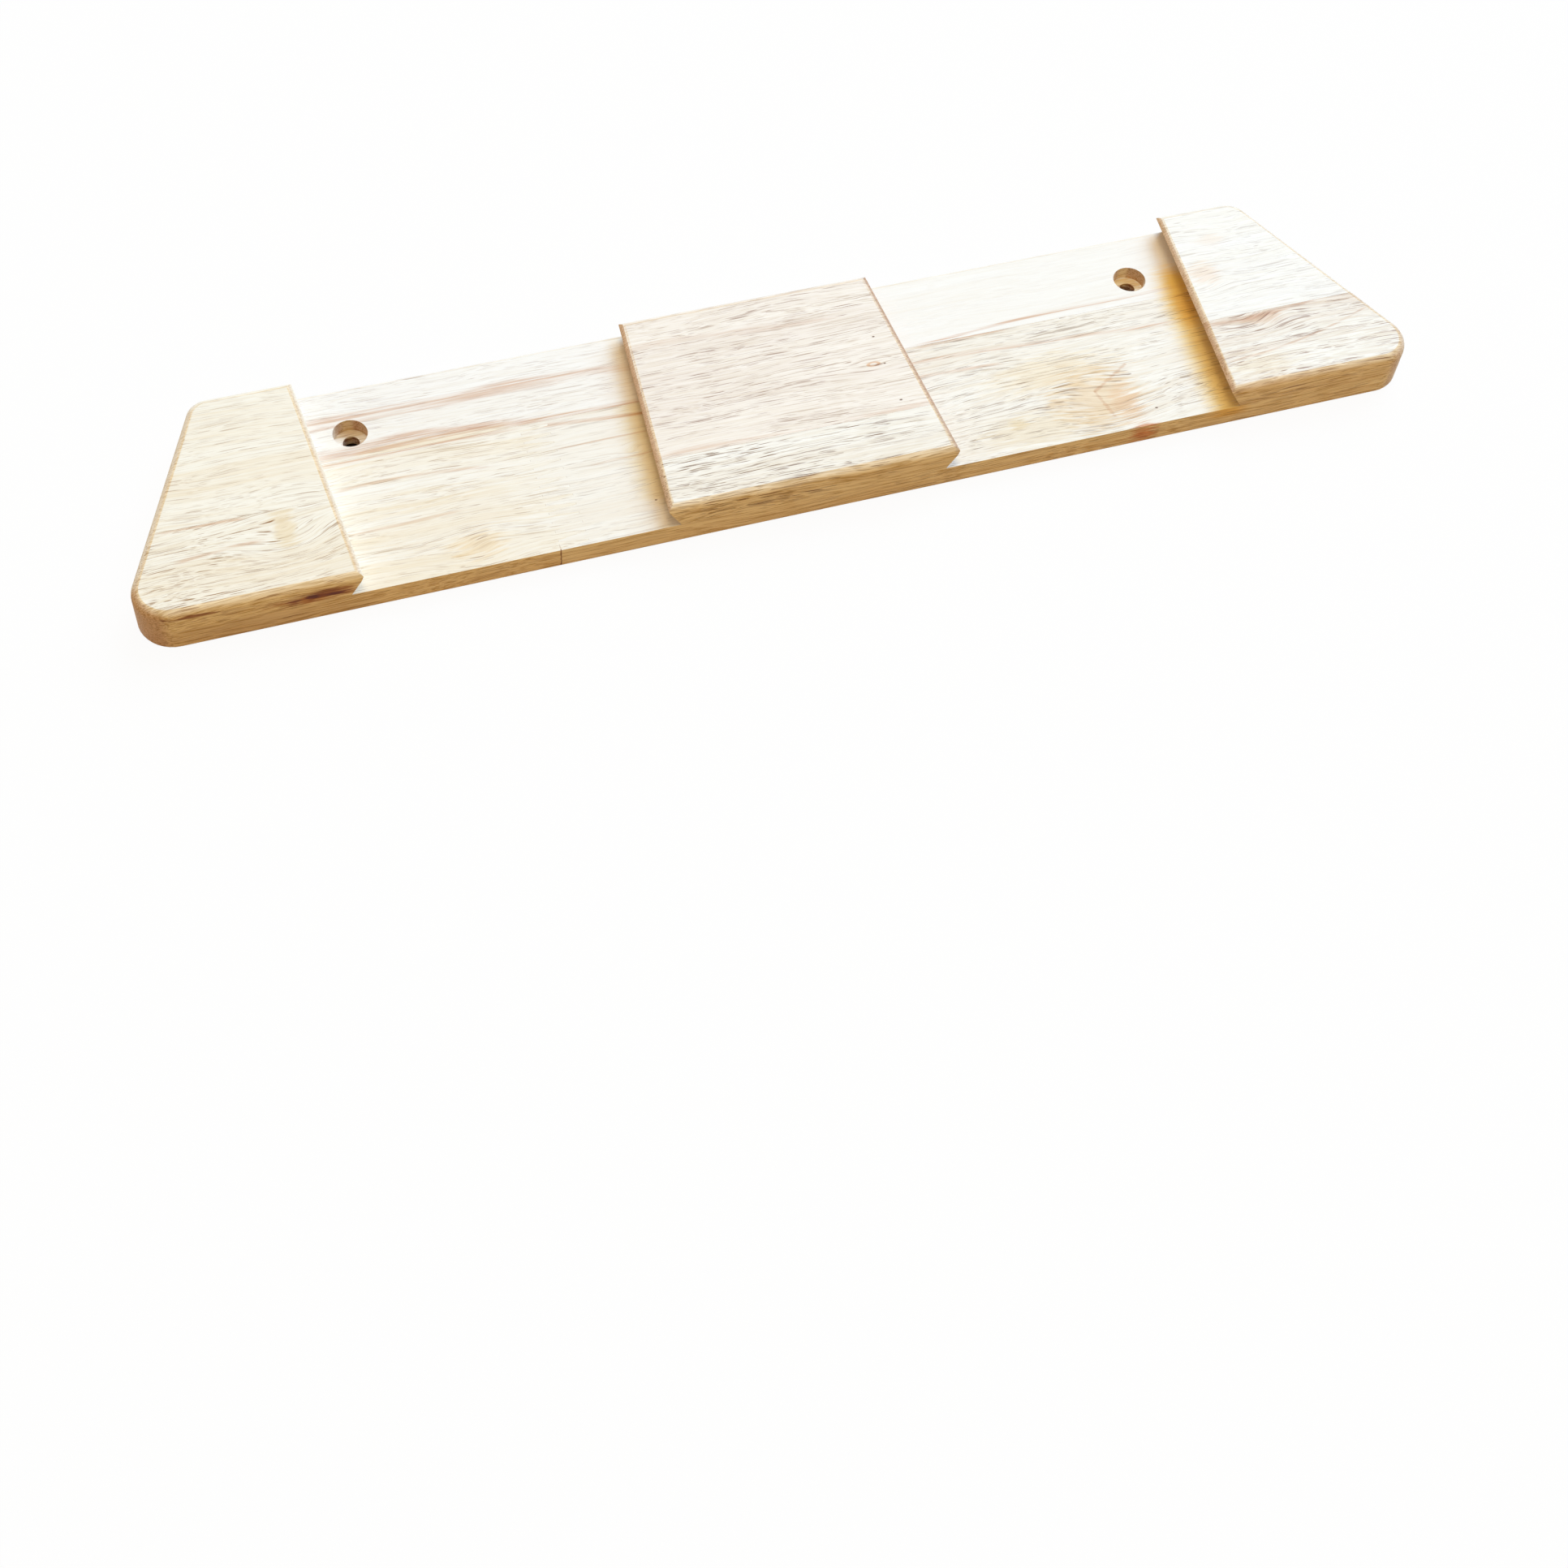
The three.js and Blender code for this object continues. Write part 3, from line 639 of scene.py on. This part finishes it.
# --- End blocks ---------------------------------------------------------------------------------
# The two end blocks follow the backboard's sloped ends and rounded corners. Each is two staves,
# rounded over along the outside, with an undercut wall on the slot's side, and glued to the face.
FLESH = colour(251, 234, 218)
left_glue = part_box("left_block_lower_stave")[1].y
planed_stave(
    "left_block_upper_stave",
    left_glue,
    rubberwood(
        "wood of the upper left block",
        CREAM,
        STRAW,
        TAN_VESSEL,
        (90, 500, 5),
        run=0.03,
        banding=0.6,
        vessels=0.55,
        # its right faces, lit by the key lamp, keep none of the darker edge tone: painted light
        right_edge=0.0,
        figures=[((-172, -8), 10, 0.5, 0.0)],
    ),
)
planed_stave(
    "left_block_lower_stave",
    left_glue,
    rubberwood(
        "wood of the lower left block",
        CREAM,
        STRAW,
        TAN_VESSEL,
        (-90, 623, 25),
        run=-0.03,
        banding=0.5,
        vessels=1.1,
        # its right faces, lit by the key lamp, keep none of the darker edge tone: painted light
        right_edge=0.0,
        figures=[((-176, -18), 9, 0.6, 0.0), ((-163, -22), 12, 0.0, 0.35)],
        patches=[
            # the knot on the top, the mottled brown stain on the front face, and a short streak
            ((-176, -19), (4.5, 9.5), colour(245, 234, 214), 0.9),
            ((-171, -46, 11), (16, 6, 2.2), colour(190, 144, 100), 1.0),
            ((-179, -46, 10.6), (2.4, 6, 1.3), colour(178, 130, 80), 0.9),
            ((-173, -46, 11.6), (2, 6, 1.6), colour(180, 132, 84), 0.9),
            ((-165, -46, 10.8), (3, 6, 1.3), colour(178, 128, 78), 0.9),
            ((-166, -46, 12.6), (9, 6, 2.4), colour(186, 140, 92), 0.9),
            ((-212, -42, 14.5), (9, 9, 1.0), colour(160, 110, 72), 0.9),
        ],
        lines=[
            ((-216, -10.6), (-202, -10.4), (-188, -10.6), 0.9, 0.9),
            ((-212, -24), (-196, -22.5), (-184, -22), 1.2, 0.6),
        ],
    ),
)

right_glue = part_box("right_block_lower_stave")[1].y
planed_stave(
    "right_block_upper_stave",
    right_glue,
    rubberwood(
        "wood of the upper right block",
        SNOW,
        CHALK,
        GREY_VESSEL,
        (10, 820, 8),
        run=0.02,
        banding=0.5,
        vessels=0.42,
        rings=0.1,
        figures=[((169, 7), 7, 0.5, 0.2)],
        patches=[((168, 12), (7, 6), FLESH, 0.7), ((178, 27), (6, 3), FLESH, 0.4)],
    ),
)
planed_stave(
    "right_block_lower_stave",
    right_glue,
    rubberwood(
        "wood of the lower right block",
        CHALK,
        colour(241, 229, 216),
        ROSY_VESSEL,
        (150, 910, 18),
        run=-0.02,
        banding=0.7,
        vessels=1.15,
        figures=[((181, -13), 7, 0.3, 0.3)],
        patches=[
            ((181, -14), (8, 3), colour(240, 222, 208), 0.9),
            ((170, -35), (14, 6), colour(252, 246, 234), 0.8),
        ],
        lines=[
            ((160, -30.5), (190, -27.3), (221, -18.7), 0.7, 0.6),
            ((160, -12), (180, -13), (206, -9), 1.6, 0.6),
        ],
    ),
)


# --- Middle block -------------------------------------------------------------------------------
# The wide block between the slots: a pinkish stave with many vessels, and a paler strip in front.
# Both its side walls are undercut, so that each ski's edge runs in below the rounded nose.
# The round along the right slot is a little greyer than the others.
RIGHT_ROUND = ((51.6, -44.5), (46.8, 44.5), 1.5, colour(234, 232, 240), 1.0)
middle_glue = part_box("middle_block_lower_stave")[1].y
planed_stave(
    "middle_block_upper_stave",
    middle_glue,
    rubberwood(
        "wood of the upper middle block",
        colour(255, 250, 243),
        ROSE,
        ROSY_VESSEL,
        (-30, 1100, 40),
        run=0.01,
        banding=0.9,
        vessels=0.9,
        right_edge=1.0,
        figures=[((36, 0.5), 3.5, 0.6, 0.0)],
        lines=[
            ((-50, -21), (0, -22), (50, -21.6), 1.8, 0.45),
            ((-50, 30), (0, 27), (30, 25), 2.0, 0.3),
        ],
        strokes=[RIGHT_ROUND],
        pins=[((36, 0.6), (2.6, 1.1))],
        specks=[(40.3, 13, 0.45), (40, 0, 0.4), (39.8, -17.6, 0.5)],
    ),
)
planed_stave(
    "middle_block_lower_stave",
    middle_glue,
    rubberwood(
        "wood of the lower middle block",
        CHALK,
        BUFF,
        GREY_VESSEL,
        (60, 1230, 22),
        run=0.02,
        banding=0.5,
        vessels=(-20, 40, 1.3, 0.95),
        right_edge=1.0,
        strokes=[RIGHT_ROUND],
    ),
)


# --- Screws -------------------------------------------------------------------------------------
# Six zinc-plated countersunk wood screws, two for each block, driven in from behind the backboard.
# Only their cross-recessed heads can be seen, from the wall's side.
HEAD_RADIUS = 3.5 * MM
HEAD_RIM = 0.4 * MM
NECK_RADIUS = 1.45 * MM
CORE_RADIUS = 1.15 * MM
CREST_RADIUS = 1.6 * MM
THREAD_PITCH = 1.3 * MM
THREAD_HALF_FOOT = 0.28 * THREAD_PITCH
THREAD_ROOT = 0.96 * CORE_RADIUS  # just inside the core
THREAD_START, THREAD_END = 3.4 * MM, 10.4 * MM
NECK_TAPER = 0.3 * MM
POINT_RADIUS = 0.08 * MM
RECESS_SPAN, RECESS_FLOOR = 3.6 * MM, 1.3 * MM
RECESS_WING, RECESS_DEPTH = 0.9 * MM, 1.5 * MM
WING_TAPER = 0.8
WING_TURNS = (45, 135)
SCREW_ROUND = 48
SCREW_SHARP = math.radians(25)

first_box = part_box("middle_block_left_screw")
SUNK, TIP = first_box[0].z, first_box[1].z


def zinc():
    """Bright zinc plate: a fine mottle in a satin metal."""
    material = bpy.data.materials.new("zinc plate")
    tree = bare_tree(material)
    place = node(tree, "TexCoord").outputs["Object"]
    feeds = {"Vector": place, "Scale": 900.0, "Detail": 3.0}
    mottle = node(tree, "TexNoise", feeds).outputs[0]
    feeds = {
        "Base Color": blended(tree, mottle, colour(170, 174, 180), colour(208, 207, 198)),
        "Roughness": ramp(tree, mottle, 0.3, 0.7, 0.26, 0.42),
        "Metallic": 1.0,
    }
    shader = node(tree, "BsdfPrincipled", feeds).outputs[0]
    node(tree, "OutputMaterial", {"Surface": shader})
    return material


def pick_upper_face(piece):
    """Opens a piece in edit mode with only the face that looks up selected."""
    bpy.ops.object.mode_set(mode="EDIT")
    bpy.ops.mesh.select_mode(type="FACE")
    bpy.ops.mesh.select_all(action="DESELECT")
    shape = bmesh.from_edit_mesh(piece.data)
    for face in shape.faces:
        face.select_set(face.normal.z > SQUARE_ON)
    bmesh.update_edit_mesh(piece.data)


def screw_shape():
    """Models one screw on the z axis, with its head down: a turned body, a recess, a thread."""
    bpy.ops.object.select_all(action="DESELECT")
    middle = (0, 0, SUNK + HEAD_RIM / 2)
    bpy.ops.mesh.primitive_cylinder_add(
        vertices=SCREW_ROUND, radius=HEAD_RADIUS, depth=HEAD_RIM, location=middle
    )
    body = bpy.context.object
    bpy.ops.object.transform_apply(location=True, rotation=False, scale=False)
    pick_upper_face(body)
    radius, height = HEAD_RADIUS, SUNK + HEAD_RIM
    for next_radius, next_height in (
        (NECK_RADIUS, SUNK + HEAD_RIM + HEAD_RADIUS - NECK_RADIUS),
        (NECK_RADIUS, THREAD_START - NECK_TAPER),
        (CORE_RADIUS, THREAD_START),
        (CORE_RADIUS, THREAD_END),
        (POINT_RADIUS, TIP),
    ):
        rise = (0, 0, next_height - height)
        bpy.ops.mesh.extrude_region_move(TRANSFORM_OT_translate={"value": rise})
        if next_radius != radius:
            shrink = next_radius / radius
            bpy.ops.transform.resize(value=(shrink, shrink, 1))
        radius, height = next_radius, next_height
    bpy.ops.mesh.select_all(action="SELECT")
    bpy.ops.mesh.normals_make_consistent(inside=False)
    bpy.ops.object.mode_set(mode="OBJECT")

    for turn in WING_TURNS:
        bpy.ops.object.select_all(action="DESELECT")
        bpy.ops.mesh.primitive_cube_add(size=1, location=(0, 0, SUNK))
        wing = bpy.context.object
        wing.scale = (RECESS_SPAN, RECESS_WING, 2 * RECESS_DEPTH)
        wing.rotation_euler.z = math.radians(turn)
        pick_upper_face(wing)
        narrower = (RECESS_FLOOR / RECESS_SPAN, WING_TAPER, 1)
        bpy.ops.transform.resize(value=narrower, orient_type="LOCAL")
        bpy.ops.object.mode_set(mode="OBJECT")
        pick(body)
        cut = body.modifiers.new("cut the recess", "BOOLEAN")
        cut.operation = "DIFFERENCE"
        cut.solver = "EXACT"
        cut.object = wing
        bpy.ops.object.modifier_apply(modifier=cut.name)
        bpy.data.objects.remove(wing)

    outline = bpy.data.meshes.new("thread outline")
    corners = [
        (THREAD_ROOT, 0, -THREAD_HALF_FOOT),
        (CREST_RADIUS, 0, 0),
        (THREAD_ROOT, 0, THREAD_HALF_FOOT),
    ]
    outline.from_pydata(corners, [(0, 1), (1, 2), (2, 0)], [])
    thread = bpy.data.objects.new("thread", outline)
    bpy.context.scene.collection.objects.link(thread)
    pick(thread)
    wind = thread.modifiers.new("wind", "SCREW")
    wind.axis = "Z"
    wind.angle = math.tau
    wind.screw_offset = THREAD_PITCH
    wind.iterations = int((THREAD_END - THREAD_START) / THREAD_PITCH)
    wind.steps = wind.render_steps = SCREW_ROUND // 2
    bpy.ops.object.modifier_apply(modifier=wind.name)
    bpy.ops.object.mode_set(mode="EDIT")
    bpy.ops.mesh.select_all(action="SELECT")
    bpy.ops.mesh.fill_holes(sides=0)
    bpy.ops.mesh.select_all(action="SELECT")
    bpy.ops.mesh.normals_make_consistent(inside=False)
    bpy.ops.object.mode_set(mode="OBJECT")
    thread.location.z = THREAD_START + THREAD_HALF_FOOT
    bpy.ops.object.transform_apply(location=True, rotation=False, scale=False)
    body.select_set(True)
    bpy.context.view_layer.objects.active = body
    bpy.ops.object.join()
    bpy.ops.object.shade_smooth_by_angle(angle=SCREW_SHARP)
    body.data.materials.clear()
    body.data.materials.append(zinc())
    return body


pattern = screw_shape()
for name in sorted(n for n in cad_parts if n.endswith("screw")):
    low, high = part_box(name)
    screw = bpy.data.objects.new(name + "_zinc", pattern.data.copy())
    bpy.context.scene.collection.objects.link(screw)
    screw.location = ((low.x + high.x) / 2, (low.y + high.y) / 2, 0)
    pick(screw)
    bpy.ops.object.transform_apply(location=True, rotation=False, scale=False)
    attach(screw, "root")
    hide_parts(name)
bpy.data.objects.remove(pattern)


# --- Floor and light ----------------------------------------------------------------------------
# A plain white floor, a large soft lamp from behind on the right, and warmer light all round. The
# floor is open below the rack's back face, so that the back is lit too, but not below the holes.
FLOOR_REACH = 28  # how many times wider the floor is than the rack
FLOOR_DROP = 0.05 * MM
FLOOR_COLOUR = colour(222, 200, 165)
FLOOR_AS_SEEN = colour(250, 250, 250)
FLOOR_WHITENESS = 0.94  # the share that is seen as plain white, with no shadow on it
HOLE_COVER = 3.3 * MM
HOLE_SHADE_COLOUR = colour(28, 21, 19)
WHITE = (1, 1, 1, 1)
ROOM_COLOUR, ROOM_STRENGTH = (1.0, 0.788, 0.51, 1), 0.388


def seen_directly(tree):
    """1 for what the camera sees, straight or in gloss or glass, and 0 for light on its way."""
    rays = node(tree, "LightPath").outputs
    seen = maths(tree, "MAXIMUM", rays["Is Camera Ray"], rays["Is Glossy Ray"])
    return maths(tree, "MAXIMUM", seen, rays["Is Transmission Ray"])


def shown_from_above(tree, shader):
    """Finishes a material that is clear when it is looked at from below."""
    below = node(tree, "NewGeometry").outputs["Backfacing"]
    clear = node(tree, "BsdfTransparent").outputs[0]
    shown = node(tree, "MixShader", {0: below, 1: shader, 2: clear}).outputs[0]
    node(tree, "OutputMaterial", {"Surface": shown})


paper = bpy.data.materials.new("white floor")
tree = bare_tree(paper)
seen = seen_directly(tree)
tabletop = blended(tree, seen, FLOOR_COLOUR, FLOOR_AS_SEEN)
matt = node(tree, "BsdfDiffuse", {"Color": tabletop}).outputs[0]
glow = node(tree, "Emission", {"Color": WHITE, "Strength": 1.0}).outputs[0]
whiteness = product(tree, seen, FLOOR_WHITENESS)
shown_from_above(tree, node(tree, "MixShader", {0: whiteness, 1: matt, 2: glow}).outputs[0])

back_points = [
    corner.co.xy
    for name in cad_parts
    if name.startswith("backboard")
    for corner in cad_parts[name].data.vertices
    if corner.co.z < WELD
]
rim = [back_points[i] for i in convex_hull_2d(back_points)]
count = len(rim)
near = [(p.x, p.y, -FLOOR_DROP) for p in rim]
far = [(p.x * FLOOR_REACH, p.y * FLOOR_REACH, -FLOOR_DROP) for p in rim]
ring = [(i, i + count, (i + 1) % count + count, (i + 1) % count) for i in range(count)]
sheet = bpy.data.meshes.new("floor")
sheet.from_pydata(near + far, [], ring)
sheet.materials.append(paper)
floor = bpy.data.objects.new("floor", sheet)
bpy.context.scene.collection.objects.link(floor)

# Dark discs just under the two screw holes are painted shade, seen at the bottom of each hole.
hole_shade = bpy.data.materials.new("dark below the holes")
tree = bare_tree(hole_shade)
shown_from_above(tree, node(tree, "BsdfDiffuse", {"Color": HOLE_SHADE_COLOUR}).outputs[0])
for x, y in WALL_HOLES:
    bpy.ops.object.select_all(action="DESELECT")
    bpy.ops.mesh.primitive_circle_add(
        vertices=32, radius=HOLE_COVER, fill_type="NGON", location=(x * MM, y * MM, -FLOOR_DROP)
    )
    cover = bpy.context.object
    cover.name = "dark below the hole"
    cover.data.materials.append(hole_shade)

world = bpy.data.worlds.new("studio")
bpy.context.scene.world = world
tree = bare_tree(world)
room = node(tree, "Background", {"Color": ROOM_COLOUR, "Strength": ROOM_STRENGTH}).outputs[0]
white = node(tree, "Background", {"Color": WHITE, "Strength": 1.0}).outputs[0]
sky = node(tree, "MixShader", {0: seen_directly(tree), 1: room, 2: white}).outputs[0]
node(tree, "OutputWorld", {"Surface": sky})


def lamp(name, place, size, power, tint):
    """A square area lamp that faces the rack. Its place and size are in metres."""
    data = bpy.data.lights.new(name, "AREA")
    data.size = size
    data.energy = power
    data.color = tint
    made = bpy.data.objects.new(name, data)
    made.location = place
    made.rotation_euler = (-Vector(place)).to_track_quat("-Z", "Y").to_euler()
    made.visible_camera = False
    bpy.context.scene.collection.objects.link(made)


lamp("key lamp", (3.4, 3.1, 4.6), 5.2, 411, (0.506, 0.742, 1.0))
lamp("ceiling lamp", (-0.1, -0.1, 2.4), 0.9, 16.6, (1.0, 0.78, 0.493))
lamp("lamp for the back", (-0.5, -0.6, -1.8), 1.2, 30, (0.8, 0.9, 1.0))

bpy.context.scene.view_settings.view_transform = "Standard"
